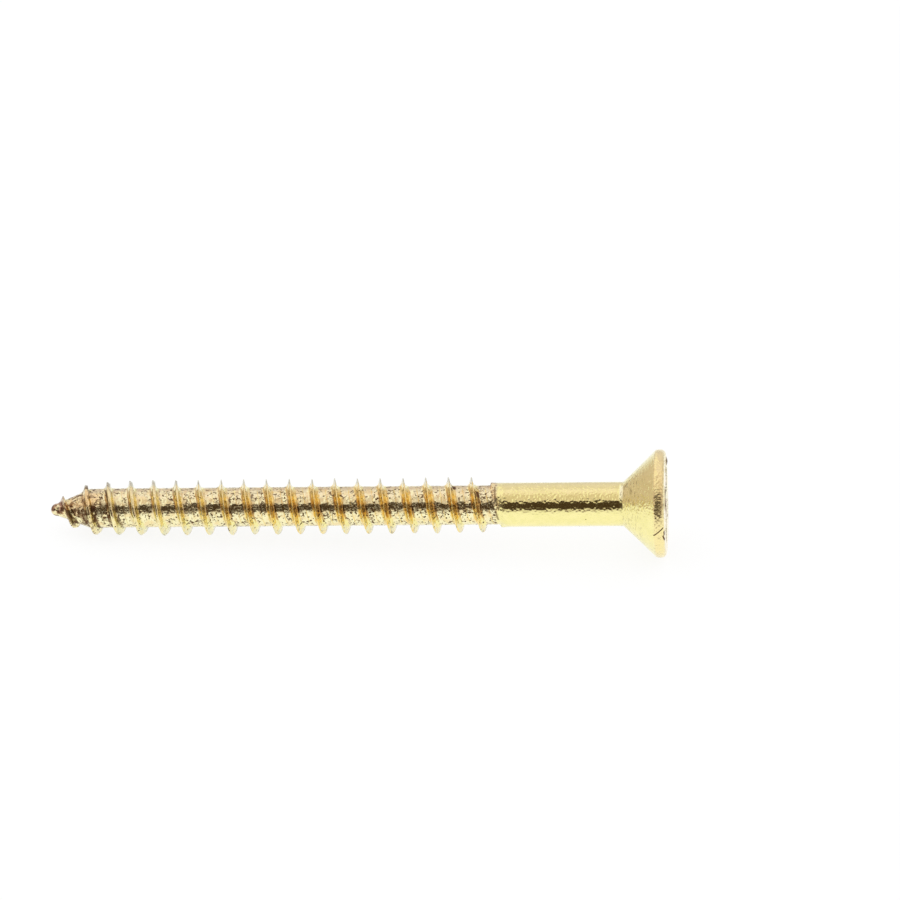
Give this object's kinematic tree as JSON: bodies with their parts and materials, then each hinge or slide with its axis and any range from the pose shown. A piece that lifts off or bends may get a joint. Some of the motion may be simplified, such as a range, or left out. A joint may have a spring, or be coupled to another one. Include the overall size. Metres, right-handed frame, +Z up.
{
  "type": "countersunk wood screw",
  "caption": "Brass wood screw with a flat countersunk head, cross recess, plain shank and coarse tapering thread, lying on its side.",
  "frame": {"origin": "middle of the bounding box in X and Y, on the floor the screw lies on", "axes": "+X from the point towards the head, +Z up; the screw's own axis lies in the XZ plane and rises 2.77 degrees towards the head"},
  "size_m": [0.0382, 0.0066, 0.0067],
  "materials": {
    "brass": "polished, with darker specks in the thread and a tarnished point"
  },
  "bodies": {
    "root": {"wood_screw": "brass"}
  },
  "joints": []
}
